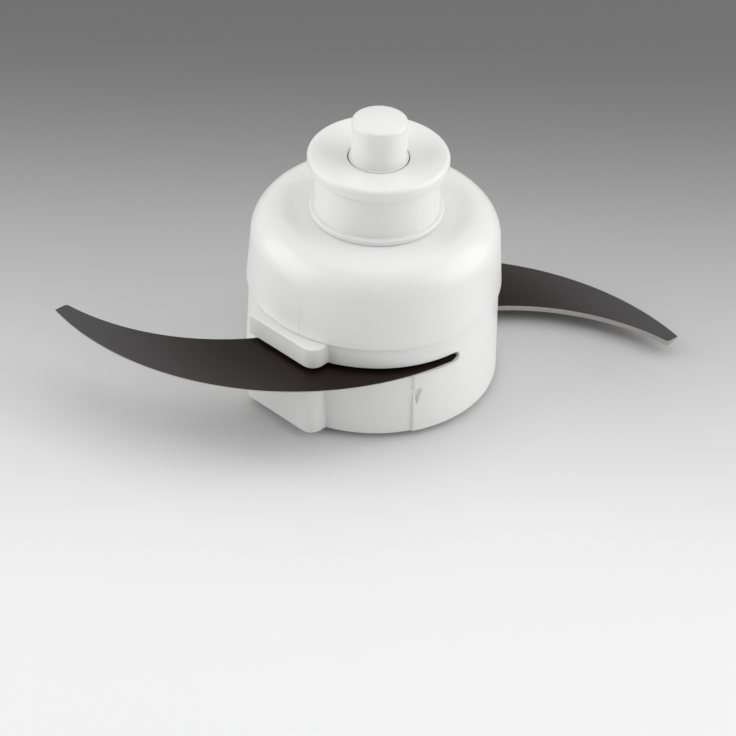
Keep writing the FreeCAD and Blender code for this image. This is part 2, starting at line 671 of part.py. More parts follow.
def make_drive_parts():
    """Drive socket, grip ring, spindle bush and the clip that keeps them in the centre tube."""
    outside = d.tube_bore_radius - d.insert_gap
    clip_bottom = d.tube_foot + d.clip_seat
    socket_bottom = clip_bottom + d.clip_thickness + d.clip_gap
    turned("socket_clip", [
        (d.tube_bore_radius - d.clip_overlap, clip_bottom),
        (d.tube_bore_radius + d.clip_depth - d.clip_gap, clip_bottom),
        (d.tube_bore_radius + d.clip_depth - d.clip_gap, clip_bottom + d.clip_thickness),
        (d.tube_bore_radius - d.clip_overlap, clip_bottom + d.clip_thickness),
    ])
    blank = cylinder("socket_blank", outside, d.socket_length, z=socket_bottom)
    hexagon = DOC.addObject("Part::Prism", "socket_hexagon")
    hexagon.Polygon = 6
    bind(hexagon, Circumradius=d.socket_flats / math.sqrt(3), Height=d.socket_length)
    place(hexagon, z=socket_bottom)
    ring_radius = d.spindle_radius + d.grip_ring_wire
    ring_room = ring_radius + d.grip_ring_wire + d.seal_gap
    cut("drive_socket", blank, hexagon)
    bush_bottom = socket_bottom + d.socket_length
    bush_top = d.tube_top - d.tube_lid - d.clip_gap
    ring_height = (d.grip_ring_wire + d.seal_gap) * 2
    turned("spindle_bush", [
        (d.spindle_radius, bush_bottom + ring_height),
        (ring_room, bush_bottom + ring_height),
        (ring_room, bush_bottom),
        (outside, bush_bottom),
        (outside, bush_top),
        (d.spindle_radius, bush_top),
    ])
    make_ring("spindle_grip_ring", ring_radius, d.grip_ring_wire,
              bush_bottom + ring_height / 2)


def meeting_point(first, second, lower):
    """Where two circles, each (x, y, radius), cross; lower picks the crossing with the lower y."""
    step_x = second[0] - first[0]
    step_y = second[1] - first[1]
    gap = math.hypot(step_x, step_y)
    along = (first[2] ** 2 - second[2] ** 2 + gap ** 2) / (2 * gap)
    across = math.sqrt(first[2] ** 2 - along ** 2)
    middle_x = first[0] + along * step_x / gap
    middle_y = first[1] + along * step_y / gap
    spots = [(middle_x + side * across * step_y / gap, middle_y - side * across * step_x / gap)
             for side in (1, -1)]
    return sorted(spots, key=lambda spot: spot[1])[0 if lower else 1]


def arc(centre_x, centre_y, radius, start, end):
    """An arc of a circle, run anticlockwise from one point to another."""
    circle = Part.Circle(FreeCAD.Vector(centre_x, centre_y, 0), FreeCAD.Vector(0, 0, 1), radius)
    angles = [math.atan2(point[1] - centre_y, point[0] - centre_x) for point in (start, end)]
    return Part.ArcOfCircle(circle, angles[0], angles[1])


def spun(x, y, turn):
    """A place turned about the hub axis."""
    cosine = Size(math.cos(math.radians(turn.value)), f"cos({turn.text})")
    sine = Size(math.sin(math.radians(turn.value)), f"sin({turn.text})")
    return x * cosine - y * sine, x * sine + y * cosine


def make_blade(name, height, turn, spots):
    """Sickle blade: ground edge, hollow back, blunt tip and a tang that wraps the centre tube."""
    edge_y = edge_radius - d.edge_depth
    edge_x = root_of_squares(edge_radius, edge_y - d.tip_side) - d.tip_radius
    back_x = -back_middle
    back_y = back_radius - d.back_depth
    tip_inner_x = d.tip_cut - d.tip_radius
    tip = (-d.tip_radius.value, d.tip_side.value)
    back_rise = math.sqrt(back_radius.value ** 2 - (tip_inner_x.value - back_x.value) ** 2)
    tip_inner = (tip_inner_x.value, back_y.value - back_rise)
    edge_rise = math.sqrt(edge_radius.value ** 2 - (d.edge_end.value - edge_x.value) ** 2)
    edge_stop = (d.edge_end.value, edge_y.value - edge_rise)
    heel_x, heel_y = polar(d.hub_foot_radius - d.heel_inset, d.slot_end - d.heel_gap)
    heel = (heel_x.value, heel_y.value)
    tang_end_x, tang_end_y = polar(d.tang_inner_radius, d.tang_end_azimuth)
    tang_end = (tang_end_x.value, tang_end_y.value)
    back_stop = meeting_point((back_x.value, back_y.value, back_radius.value),
                              (0.0, 0.0, d.tang_inner_radius.value), True)

    body = DOC.addObject("PartDesign::Body", name + "_sheet")
    sketch = new_sketch(body, name + "_outline", "XY_Plane")
    sketch.addGeometry(arc(edge_x.value, edge_y.value, edge_radius.value, tip, edge_stop))
    sketch.addGeometry(Part.LineSegment(FreeCAD.Vector(*heel, 0), FreeCAD.Vector(*tang_end, 0)))
    sketch.addGeometry(arc(0.0, 0.0, d.tang_inner_radius.value, back_stop, tang_end))
    sketch.addGeometry(arc(back_x.value, back_y.value, back_radius.value, tip_inner, back_stop))
    sketch.addGeometry(Part.LineSegment(FreeCAD.Vector(*tip_inner, 0), FreeCAD.Vector(*tip, 0)))
    sketch.addGeometry(Part.LineSegment(FreeCAD.Vector(*edge_stop, 0), FreeCAD.Vector(*heel, 0)))
    for first, first_end, second, second_end in ((0, 2, 5, 1), (5, 2, 1, 1), (1, 2, 2, 2),
                                                 (2, 1, 3, 2), (3, 1, 4, 1), (4, 2, 0, 1)):
        sketch.addConstraint(Sketcher.Constraint("Coincident", first, first_end, second, second_end))
    for index, x, y, radius in ((0, edge_x, edge_y, edge_radius), (3, back_x, back_y, back_radius)):
        fix_point(sketch, index, 3, x, y)
        row = sketch.addConstraint(Sketcher.Constraint("Radius", index, radius.value))
        sketch.setExpression(f"Constraints[{row}]", radius.text)
    sketch.addConstraint(Sketcher.Constraint("Coincident", 2, 3, -1, 1))
    fix_point(sketch, 1, 1, heel_x, heel_y)
    fix_point(sketch, 1, 2, tang_end_x, tang_end_y)
    row = sketch.addConstraint(Sketcher.Constraint("DistanceX", -1, 1, 0, 2, d.edge_end.value))
    sketch.setExpression(f"Constraints[{row}]", d.edge_end.text)
    row = sketch.addConstraint(Sketcher.Constraint("DistanceX", -1, 1, 0, 1, -d.tip_radius.value))
    sketch.setExpression(f"Constraints[{row}]", (-d.tip_radius).text)
    row = sketch.addConstraint(Sketcher.Constraint("DistanceX", -1, 1, 3, 1, tip_inner_x.value))
    sketch.setExpression(f"Constraints[{row}]", tip_inner_x.text)
    pad = body.newObject("PartDesign::Pad", name + "_thickness")
    pad.Profile = sketch
    bind(pad, Length=d.blade_thickness)
    body.Tip = pad
    DOC.recompute()
    corner = [f"Edge{index}" for index, edge in enumerate(pad.Shape.Edges, start=1)
              if all(abs(vertex.X - tip_inner[0]) < TINY and abs(vertex.Y - tip_inner[1]) < TINY
                     for vertex in edge.Vertexes)]
    rounding = body.newObject("PartDesign::Fillet", name + "_tip_rounding")
    rounding.Base = (pad, corner)
    bind(rounding, Radius=d.tip_round)
    body.Tip = rounding
    place(body, z=height, turn=turn)
    drills = holes(name + "_hole", d.screw_radius + d.blade_hole_gap, height, d.blade_thickness, spots)
    grind_x, grind_y = spun(edge_x, edge_y, turn)
    grind_height = d.blade_thickness - d.edge_land
    stone = cylinder(name + "_stone", edge_radius + d.grind_width, grind_height,
                     grind_x, grind_y, height)
    spared = DOC.addObject("Part::Cone", name + "_spared")
    bind(spared, Radius1=edge_radius - d.grind_width, Radius2=edge_radius, Height=grind_height)
    place(spared, grind_x, grind_y, height)
    ground = cut(name + "_ground", stone, spared)
    return cut(name, body, joined("Part::MultiFuse", name + "_cuts", drills + [ground]))


make_hub_base()
make_base_cover()
make_hub_cap()
make_lift_knob()
make_pin_parts()
make_drive_parts()
make_blade("upper_blade", d.upper_blade_height, ZERO, upper_spots)
make_blade("lower_blade", d.lower_blade_height, d.lower_blade_turn, lower_spots)
make_ring("knob_seal_ring", seal_radius, d.seal_wire, knob_foot + d.seal_wire + d.seal_gap)
blade_top = d.upper_blade_height + d.blade_thickness
screw_copies("upper_blade_screws", PAN_HEAD, [(x, y, blade_top) for x, y in upper_spots], half_turn)
screw_copies("cover_screws", COUNTERSUNK_HEAD,
             [(x, y, d.cover_recess) for x, y in upper_spots + lower_spots])
screw_copies("cap_screws", PAN_HEAD, [(x, y, web_bottom) for x, y in cap_spots])
screw_copies("knob_screws", PAN_HEAD, [(x, y, cap_roof) for x, y in knob_spots])

NODES = [
    "hub_base", "base_cover", "hub_cap", "lift_knob", "pin_bush", "thrust_pin", "pin_clip",
    "thrust_ball", "spring_cup", "pin_spring", "drive_socket", "socket_clip", "spindle_bush",
    "spindle_grip_ring", "upper_blade", "lower_blade", "knob_seal_ring", "upper_blade_screws",
    "cover_screws", "cap_screws", "knob_screws",
]

DOC.recompute()
for thing in DOC.Objects:
    if "Invalid" in thing.State or "Error" in thing.State:
        raise RuntimeError(f"{thing.Name} failed: {thing.State}")
for name in NODES:
    shape = DOC.getObject(name).Shape
    if shape.isNull() or not shape.isValid() or not shape.Solids:
        raise RuntimeError(f"{name} has no valid solid")

os.makedirs("parts", exist_ok=True)
for name in NODES:
    node = DOC.getObject(name)
    node.Label = name
    node.Shape.exportStep(os.path.join("parts", name + ".step"))
    box = node.Shape.optimalBoundingBox(False)
    print(f"{name}: {len(node.Shape.Solids)} solids, {node.Shape.Volume:.0f} mm3, "
          f"z {box.ZMin:.2f} to {box.ZMax:.2f}, x {box.XMin:.2f} to {box.XMax:.2f}")
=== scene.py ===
import math

import bmesh
import bpy
from mathutils import Matrix, Vector
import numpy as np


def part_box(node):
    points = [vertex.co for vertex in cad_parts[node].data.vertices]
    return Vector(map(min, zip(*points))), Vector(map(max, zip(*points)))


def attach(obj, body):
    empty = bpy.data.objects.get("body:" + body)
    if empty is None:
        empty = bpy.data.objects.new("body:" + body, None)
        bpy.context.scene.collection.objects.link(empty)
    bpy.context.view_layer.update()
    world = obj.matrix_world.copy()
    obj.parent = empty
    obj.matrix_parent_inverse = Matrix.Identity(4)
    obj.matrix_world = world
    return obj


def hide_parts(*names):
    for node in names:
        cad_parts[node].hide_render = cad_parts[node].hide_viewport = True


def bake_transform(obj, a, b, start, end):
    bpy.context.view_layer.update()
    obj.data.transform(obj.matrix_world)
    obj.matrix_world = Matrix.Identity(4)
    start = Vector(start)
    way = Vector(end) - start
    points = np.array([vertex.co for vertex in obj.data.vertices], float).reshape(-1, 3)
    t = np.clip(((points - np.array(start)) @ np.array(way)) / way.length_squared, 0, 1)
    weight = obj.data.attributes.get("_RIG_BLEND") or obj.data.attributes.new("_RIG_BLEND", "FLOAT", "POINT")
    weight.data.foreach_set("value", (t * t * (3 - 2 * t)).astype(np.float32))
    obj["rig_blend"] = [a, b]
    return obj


bl_info = {
    "name": "Chopping Knife",
    "version": (1, 0, 0),
    "blender": (4, 5, 0),
    "location": "View3D > Sidebar > Knife",
    "description": "Dresses the packed chopping-knife unit: mouldings, blades, turning pin and fasteners",
    "category": "Object",
}

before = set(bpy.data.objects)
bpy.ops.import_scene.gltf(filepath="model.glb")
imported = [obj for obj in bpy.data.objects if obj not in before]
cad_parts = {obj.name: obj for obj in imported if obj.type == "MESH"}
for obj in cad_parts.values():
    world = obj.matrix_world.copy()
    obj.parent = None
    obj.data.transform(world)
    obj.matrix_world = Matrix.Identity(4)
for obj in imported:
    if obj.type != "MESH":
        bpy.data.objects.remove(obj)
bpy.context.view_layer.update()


# Sizes, colours and stage settings that a user would change

def length(label, words, default, low=0.0):
    """A length property in metres."""
    return bpy.props.FloatProperty(name=label, description=words, default=default, min=low,
                                   precision=5, unit="LENGTH", subtype="DISTANCE")


def angle(label, words, degrees):
    """An angle property."""
    return bpy.props.FloatProperty(name=label, description=words, default=math.radians(degrees),
                                   unit="ROTATION", subtype="ANGLE")


def number(label, words, default, high=1000.0):
    """A plain number property."""
    return bpy.props.FloatProperty(name=label, description=words, default=default, min=0.0, max=high)


def colour(label, words, default):
    """A colour property in linear light."""
    return bpy.props.FloatVectorProperty(name=label, description=words, default=default, size=3,
                                         min=0.0, max=1.0, subtype="COLOR")


class KnifeSizes(bpy.types.PropertyGroup):
    """Sizes of the visible detail."""
    moulded_rounding: length("Moulded rounding", "Rounding of the plastic edges", 0.00032)
    fine_rounding: length("Fine rounding", "Rounding of the small inserts' edges", 0.00012)
    blade_rounding: length("Blade rounding", "Rounding of the blade's sheet edges", 0.00007)
    parting_height: length("Parting height", "Joint between the base and the cap", 0.0242)
    cap_line_turn: angle("Cap mould line", "Direction of the cap's mould line", -133.9)
    cap_line_top: length("Cap mould line top", "Upper end of the cap's mould line", 0.0365)
    knob_line_turn: angle("Knob mould line", "Direction of the knob's mould line", -31.0)
    knob_line_foot: length("Knob mould line foot", "Lower end of the knob's mould line", 0.0445)
    knob_line_top: length("Knob mould line top", "Upper end of the knob's mould line", 0.0545)
    pin_nose_radius: length("Pin nose", "Radius of the pin above the knob", 0.0064)
    pin_nose_length: length("Pin nose length", "Pin above the knob, up to its rim", 0.009)
    pin_rim_rounding: length("Pin rim", "Rounding of the pin's top rim", 0.0007)
    pin_foot_rounding: length("Pin foot", "Rounding of the pin's lower rim", 0.0003)
    pin_crown: length("Pin crown", "Height of the pin's low crown", 0.0015)
    clip_depth: length("Clip depth", "Depth of the clip's groove in the pin", 0.0009)
    edge_radius: length("Edge arc", "Radius of the blade's ground edge", 0.0646)
    edge_depth: length("Edge depth", "How far the ground edge bows to the side", 0.0347)
    tip_side: length("Tip side", "Tip's outer corner beside the hub axis", 0.002)
    lower_turn: angle("Lower blade turn", "Angle from the upper to the lower blade", 178.5)
    screw_shank: length("Screw shank", "Radius of the screws' shanks", 0.00125)
    head_height: length("Head height", "Height of a domed screw head", 0.0015)
    cone_height: length("Cone height", "Height of a countersunk screw head", 0.001)
    recess_width: length("Cross recess", "Width of a screw's cross recess", 0.0022)
    recess_depth: length("Recess depth", "Depth of a screw's cross recess", 0.0007)
    thread_pitch: length("Thread pitch", "Pitch of the screw threads", 0.0009)
    thread_depth: length("Thread depth", "Depth of the screw threads", 0.00022)
    spring_wire: length("Spring wire", "Radius of the spring's wire", 0.0005)
    spring_turns: number("Spring turns", "Turns of the spring", 4.5)


class KnifeFinish(bpy.types.PropertyGroup):
    """Colours and gloss of the finishes."""
    white: colour("White plastic", "Moulded plastic of the hub", (0.84, 0.84, 0.835))
    white_roughness: number("White roughness", "Roughness of the moulded plastic", 0.3, 1.0)
    # Painted light: the coat colour at the hub end is darkened as painted shade, and the tip colour is a
    # greyer painted sheen; the blade's colour ramps between them.
    blade_coat: colour("Blade coating", "Dark coating at the hub end", (0.0105, 0.0042, 0.0042))
    blade_tip_painted_sheen: colour("Blade coating at the tip", "Greyer coating at the tip", (0.071, 0.069, 0.069))
    blade_roughness: number("Blade roughness", "Roughness of the coating", 0.4, 1.0)
    ground_steel: colour("Ground steel", "Bare steel of the ground bevel", (0.58, 0.57, 0.56))
    bright_steel: colour("Bright steel", "Screws, clips, spring and ball", (0.6, 0.6, 0.61))
    seal_rubber: colour("Seal rubber", "Seal and grip rings", (0.022, 0.022, 0.023))
    bearing: colour("Bearing plastic", "Bushes and spring cup", (0.68, 0.65, 0.58))
    socket: colour("Socket plastic", "Drive socket", (0.045, 0.046, 0.05))


class StageSettings(bpy.types.PropertyGroup):
    """Camera, floor and lights."""
    azimuth: angle("Camera azimuth", "Direction that the camera looks along", -9.64)
    elevation: angle("Camera elevation", "Camera's height above the horizon", 37.94)
    roll: angle("Camera roll", "Tilt of the camera about its own axis", 2.21)
    distance: length("Camera distance", "Camera to its aim", 0.6184)
    aim_side: length("Aim to the side", "Aim beside the hub axis", -0.00057, -1.0)
    aim_height: length("Aim height", "Aim above the rest plane", -0.0038, -1.0)
    lens: number("Lens", "Focal length in millimetres", 125.4)
    # Painted shade: the floor's colour ramps from the near colour to a dark far colour for the fall-off of
    # the studio light.
    floor_near: colour("Near floor", "Floor towards the camera", (0.87, 0.87, 0.87))
    floor_far_painted_shade: colour("Far floor", "Floor behind the object", (0.135, 0.135, 0.135))
    floor_gap: length("Floor gap", "Air between the floor and the rest plane", 0.0015)
    right_power: number("Right light", "Power of the right light in watts", 6.3)
    left_power: number("Left light", "Power of the left light in watts", 5.8)
    top_power: number("Top light", "Power of the top light in watts", 2.8)
    world: number("World light", "Strength of the surrounding light", 0.41)


# Node trees

class Link:
    """An output socket that can stand in Python sums."""

    def __init__(self, tree, socket):
        self.tree = tree
        self.socket = socket

    def output(self, name):
        """Another output of the same node."""
        return Link(self.tree, self.socket.node.outputs[name])

    def __add__(self, other):
        return self.tree.maths("ADD", self, other)

    def __radd__(self, other):
        return self.tree.maths("ADD", other, self)

    def __sub__(self, other):
        return self.tree.maths("SUBTRACT", self, other)

    def __rsub__(self, other):
        return self.tree.maths("SUBTRACT", other, self)

    def __mul__(self, other):
        return self.tree.maths("MULTIPLY", self, other)

    def __rmul__(self, other):
        return self.tree.maths("MULTIPLY", other, self)


class Tree:
    """Adds nodes to a shader or geometry tree."""

    def __init__(self, nodes_of):
        self.tree = nodes_of

    def feed(self, socket, value):
        """Sets or links one input."""
        if isinstance(value, Link):
            self.tree.links.new(value.socket, socket)
        else:
            socket.default_value = value

    def node(self, kind, settings=None, values=None, output=0):
        """A node of a type, its settings, then the values or links of its sockets."""
        made = self.tree.nodes.new(kind)
        for name, value in (settings or {}).items():
            setattr(made, name, value)
        for name, value in (values or {}).items():
            self.feed(made.inputs[name], value)
        return Link(self, made.outputs[output])

    def maths(self, operation, *values):
        """One Math node."""
        made = self.tree.nodes.new("ShaderNodeMath")
        made.operation = operation
        for socket, value in zip(made.inputs, values):
            self.feed(socket, value)
        return Link(self, made.outputs[0])


class Finish(Tree):
    """A material under construction."""

    def __init__(self, name):
        self.material = bpy.data.materials.new(name)
        self.material.use_nodes = True
        super().__init__(self.material.node_tree)
        self.shader = self.tree.nodes["Principled BSDF"]
        self.place = self.node("ShaderNodeTexCoord", output="Object")

    def axes(self):
        """The x, y and z of the place on the piece."""
        x = self.node("ShaderNodeSeparateXYZ", None, {"Vector": self.place})
        return x, x.output("Y"), x.output("Z")

    def noise(self, scale, detail=2.0, stretch=(1.0, 1.0, 1.0), turn=0.0, vector=None):
        """Noise from 0 to 1 at a number of features in a metre."""
        spread = self.node("ShaderNodeMapping", None, {
            "Vector": vector or self.place, "Rotation": (0.0, 0.0, turn), "Scale": stretch})
        return self.node("ShaderNodeTexNoise", None, {"Vector": spread, "Scale": scale,
                                                      "Detail": detail}, "Fac")

    def blend(self, factor, first, second):
        """A colour between two colours."""
        made = self.tree.nodes.new("ShaderNodeMix")
        made.data_type = "RGBA"
        for socket, value in zip((made.inputs[0], made.inputs[6], made.inputs[7]),
                                 (factor, first, second)):
            self.feed(socket, value)
        return Link(self, made.outputs[2])

    def span(self, value, low, high):
        """0 below low, 1 above high, smooth between."""
        return self.node("ShaderNodeMapRange", {"interpolation_type": "SMOOTHSTEP"},
                         {"Value": value, "From Min": low, "From Max": high})

    def done(self, base, roughness, height=None, depth=0.0, **sockets):
        """Feeds the shader; height is 0 to 1 and depth its size in metres."""
        self.feed(self.shader.inputs["Base Color"], base)
        self.feed(self.shader.inputs["Roughness"], roughness)
        if height is not None:
            bump = self.node("ShaderNodeBump", None, {"Strength": 1.0, "Distance": depth,
                                                      "Height": height})
            self.feed(self.shader.inputs["Normal"], bump)
        for name, value in sockets.items():
            self.feed(self.shader.inputs[name.replace("_", " ")], value)
        return self.material


def rgba(value, gain=1.0):
    """A colour with full opacity."""
    return (value[0] * gain, value[1] * gain, value[2] * gain, 1.0)


def mould_lines(turn, low, high):
    """Two mould lines across from each other, as (direction, low z, high z)."""
    return [(turn, low, high), (turn + math.pi, low, high)]


def white_moulding(name, lines=()):
    """Satin white plastic with its mould lines."""
    finish = bpy.context.scene.knife_finish
    graph = Finish(name)
    cloud = graph.noise(70.0, 3.0)
    grain = graph.noise(5200.0, 2.0)
    waves = graph.noise(260.0, 2.0)
    x, y, z = graph.axes()
    direction = graph.maths("ARCTAN2", y, x)
    reach = graph.maths("SQRT", x * x + y * y)
    height = grain * 0.1 + waves * 0.5
    for turn, low, high in lines:
        aside = graph.maths("ABSOLUTE", direction - turn) * reach
        line = 1.0 - graph.span(aside, 0.00004, 0.00022)
        upright = graph.span(z, low - 0.0003, low) * (1.0 - graph.span(z, high - 0.004, high))
        height = height + line * upright * 2.5
    base = graph.blend(cloud, rgba(finish.white, 0.975), rgba(finish.white))
    gloss = finish.white_roughness + 0.07 * (waves - 0.5) + 0.04 * (grain - 0.5)
    return graph.done(base, gloss, height, 0.00003, IOR=1.49, Coat_Weight=0.12, Coat_Roughness=0.2,
                      Subsurface_Weight=0.12, Subsurface_Radius=(0.004, 0.0038, 0.0036),
                      Subsurface_Scale=0.6)


def blade_coating(name):
    """Dark satin coating with fine flake and a faint rolling grain along the sheet; its colour ramps from
    painted shade at the hub end to a painted sheen at the tip.
    """
    finish = bpy.context.scene.knife_finish
    graph = Finish(name)
    grain = graph.noise(900.0, 3.0, (0.08, 1.0, 1.0), 0.35)
    flake = graph.noise(9000.0, 1.0)
    cloud = graph.noise(45.0, 2.0)
    x, y, z = graph.axes()
    reach = graph.maths("SQRT", x * x + y * y)
    # Painted light: near-black painted shade at the hub end ramps to a greyer painted sheen towards the tip.
    painted_sheen_ramp = graph.span(reach, 0.033, 0.072)
    warm = rgba(finish.blade_coat)
    tone = graph.blend(painted_sheen_ramp, warm, rgba(finish.blade_tip_painted_sheen))
    speck = graph.span(flake, 0.62, 0.74) * 0.3
    base = graph.blend(speck, tone, (0.06, 0.055, 0.055, 1.0))
    gloss = finish.blade_roughness + 0.1 * (grain - 0.5) + 0.06 * (cloud - 0.5)
    height = grain * 0.5 + flake * 0.35
    return graph.done(base, gloss, height, 0.000012, IOR=1.3, Coat_Weight=0.02, Coat_Roughness=0.3)


def ground_edge(name, centre):
    """Bare ground steel with grinding lines across the edge, about the centre of its arc."""
    finish = bpy.context.scene.knife_finish
    graph = Finish(name)
    x, y, z = graph.axes()
    side = x - centre[0]
    away = y - centre[1]
    turn = graph.maths("ARCTAN2", away, side)
    reach = graph.maths("SQRT", side * side + away * away)
    along, across = 0.0643, 0.06  # metres of noise to a radian, and the share kept outwards
    strokes = graph.node("ShaderNodeCombineXYZ", None, {"X": turn * along, "Y": reach * across})
    lines = graph.noise(7000.0, 2.0, vector=strokes)
    cloud = graph.noise(120.0, 2.0)
    base = graph.blend(lines * 0.6, rgba(finish.ground_steel), rgba(finish.ground_steel, 0.8))
    gloss = 0.3 + 0.14 * lines + 0.08 * (cloud - 0.5)
    return graph.done(base, gloss, lines, 0.00001, Metallic=1.0)


def bright_steel(name, scale=1400.0):
    """Bright zinc-plated or spring steel with fine handling marks."""
    finish = bpy.context.scene.knife_finish
    graph = Finish(name)
    marks = graph.noise(scale, 3.0, (1.0, 1.0, 0.25))
    cloud = graph.noise(260.0, 2.0)
    base = graph.blend(cloud, rgba(finish.bright_steel, 0.86), rgba(finish.bright_steel))
    return graph.done(base, 0.22 + 0.2 * marks, marks, 0.000008, Metallic=1.0)


def plain_finish(name, tint, roughness, scale, depth, **sockets):
    """Rubber, acetal or nylon: mottled colour, uneven gloss and a fine skin."""
    graph = Finish(name)
    skin = graph.noise(scale, 3.0)
    cloud = graph.noise(scale * 0.06, 2.0)
    base = graph.blend(cloud, rgba(tint, 0.82), rgba(tint, 1.08))
    gloss = roughness + 0.14 * (skin - 0.5) + 0.08 * (cloud - 0.5)
    return graph.done(base, gloss, skin, depth, **sockets)


# Mesh helpers

def new_piece(name, mesh):
    """Links a mesh as a new object at the origin."""
    piece = bpy.data.objects.new(name, mesh)
    bpy.context.scene.collection.objects.link(piece)
    return piece


def settled(piece, name=None):
    """A plain mesh of an object with its modifiers applied, as a new object."""
    depsgraph = bpy.context.evaluated_depsgraph_get()
    mesh = bpy.data.meshes.new_from_object(piece.evaluated_get(depsgraph), depsgraph=depsgraph)
    name = name or piece.name
    bpy.data.objects.remove(piece)
    mesh.name = name
    return new_piece(name, mesh)


def smooth(mesh, degrees=32.0):
    """Smooth shading with sharp edges kept past an angle."""
    mesh.shade_smooth()
    mesh.set_sharp_from_angle(angle=math.radians(degrees))


def finished_copy(node, name, rounding, segments=3, limit=24.0, flat=0.25):
    """A merged copy of a CAD node whose sharp edges are rounded.

    Neighbouring faces that turn by less than flat degrees are joined first.
    """
    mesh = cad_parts[node].data.copy()
    mesh.materials.clear()
    work = bmesh.new()
    work.from_mesh(mesh)
    bmesh.ops.remove_doubles(work, verts=work.verts, dist=0.000002)
    if flat:
        bmesh.ops.dissolve_limit(work, angle_limit=math.radians(flat), verts=work.verts,
                                 edges=work.edges, use_dissolve_boundaries=False)
    work.to_mesh(mesh)
    work.free()
    for layer in list(mesh.attributes):
        if layer.name == "custom_normal":
            mesh.attributes.remove(layer)
    piece = new_piece(name, mesh)
    bevel = piece.modifiers.new("rounding", "BEVEL")
    bevel.limit_method = "ANGLE"
    bevel.angle_limit = math.radians(limit)
    bevel.width = rounding
    bevel.segments = segments
    bevel.use_clamp_overlap = False
    piece = settled(piece)
    smooth(piece.data)
    weights = piece.modifiers.new("face weights", "WEIGHTED_NORMAL")
    weights.keep_sharp = True
    return settled(piece)


def lathe(profile, segments, closed):
    """A surface turned about Z from (radius, height) points; zero radius closes a pole."""
    work = bmesh.new()
    rings = []
    for radius, height in profile:
        if radius < 1e-7:
            rings.append([work.verts.new((0.0, 0.0, height))])
            continue
        turns = [2.0 * math.pi * step / segments for step in range(segments)]
        rings.append([work.verts.new((radius * math.cos(turn), radius * math.sin(turn), height))
                      for turn in turns])
    pairs = list(zip(rings, rings[1:]))
    if closed:
        pairs.append((rings[-1], rings[0]))
    for first, second in pairs:
        for step in range(segments):
            after = (step + 1) % segments
            corners = [first[step % len(first)], first[after % len(first)],
                       second[after % len(second)], second[step % len(second)]]
            unique = list(dict.fromkeys(corners))
            if len(unique) > 2:
                work.faces.new(unique)
    bmesh.ops.recalc_face_normals(work, faces=work.faces)
    return work


def lathed_piece(name, profile, segments=160, closed=True):
    """A turned mesh as a new object."""
    work = lathe(profile, segments, closed)
    mesh = bpy.data.meshes.new(name)
    work.to_mesh(mesh)
    work.free()
    smooth(mesh)
    return new_piece(name, mesh)


def quarter(centre, radius_r, radius_z, start, end, steps):
    """Points of an elliptical arc in the half section, from one angle to another in degrees."""
    points = []
    for step in range(steps + 1):
        turn = math.radians(start + (end - start) * step / steps)
        points.append((centre[0] + radius_r * math.cos(turn), centre[1] + radius_z * math.sin(turn)))
    return points


def dress(piece, materials, body, slot, *nodes):
    """Gives a piece its materials and body and hides the CAD nodes it stands for; the slot is not used."""
    for material in materials:
        piece.data.materials.append(material)
    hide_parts(*nodes)
    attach(piece, body)


def islands(node):
    """The lowest and highest corner of each separate solid of a CAD node."""
    work = bmesh.new()
    work.from_mesh(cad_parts[node].data)
    bmesh.ops.remove_doubles(work, verts=work.verts, dist=0.000002)
    seen = set()
    boxes = []
    for seed in work.verts:
        if seed in seen:
            continue
        seen.add(seed)
        group = [seed]
        for vertex in group:
            for edge in vertex.link_edges:
                other = edge.other_vert(vertex)
                if other not in seen:
                    seen.add(other)
                    group.append(other)
        low = Vector([min(vertex.co[axis] for vertex in group) for axis in range(3)])
        high = Vector([max(vertex.co[axis] for vertex in group) for axis in range(3)])
        boxes.append((low, high))
    work.free()
    return boxes


# Operators

